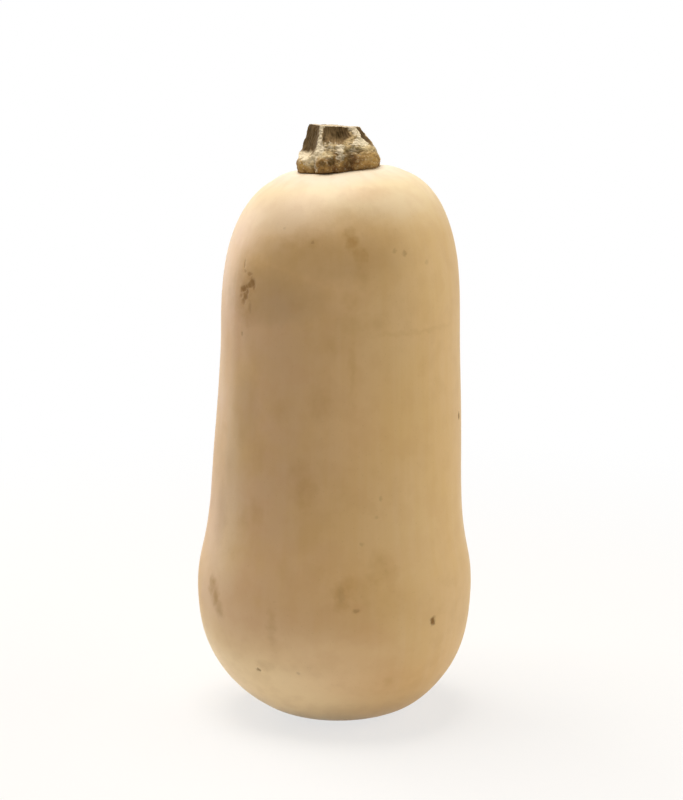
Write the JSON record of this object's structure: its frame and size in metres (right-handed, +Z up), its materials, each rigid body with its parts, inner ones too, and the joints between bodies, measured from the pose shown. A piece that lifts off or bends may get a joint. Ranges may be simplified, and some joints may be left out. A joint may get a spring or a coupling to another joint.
{
  "type": "butternut squash",
  "caption": "Whole butternut squash with a thick neck, a slightly wider seed bulb and a dried corky stem, standing upright on its blossom end.",
  "frame": {"origin": "on the ground at the middle of the squash's footprint, under the seed bulb", "axes": "+Z up along the length of the fruit, -Y towards the front, +X to the viewer's right"},
  "size_m": [0.1108, 0.1092, 0.2366],
  "materials": {
    "rind": "waxy satin skin, pale tan",
    "corky_stem": "dried grainy cork, matte"
  },
  "bodies": {
    "root": {"squash_fruit": "rind", "stem": "corky_stem"}
  },
  "joints": []
}
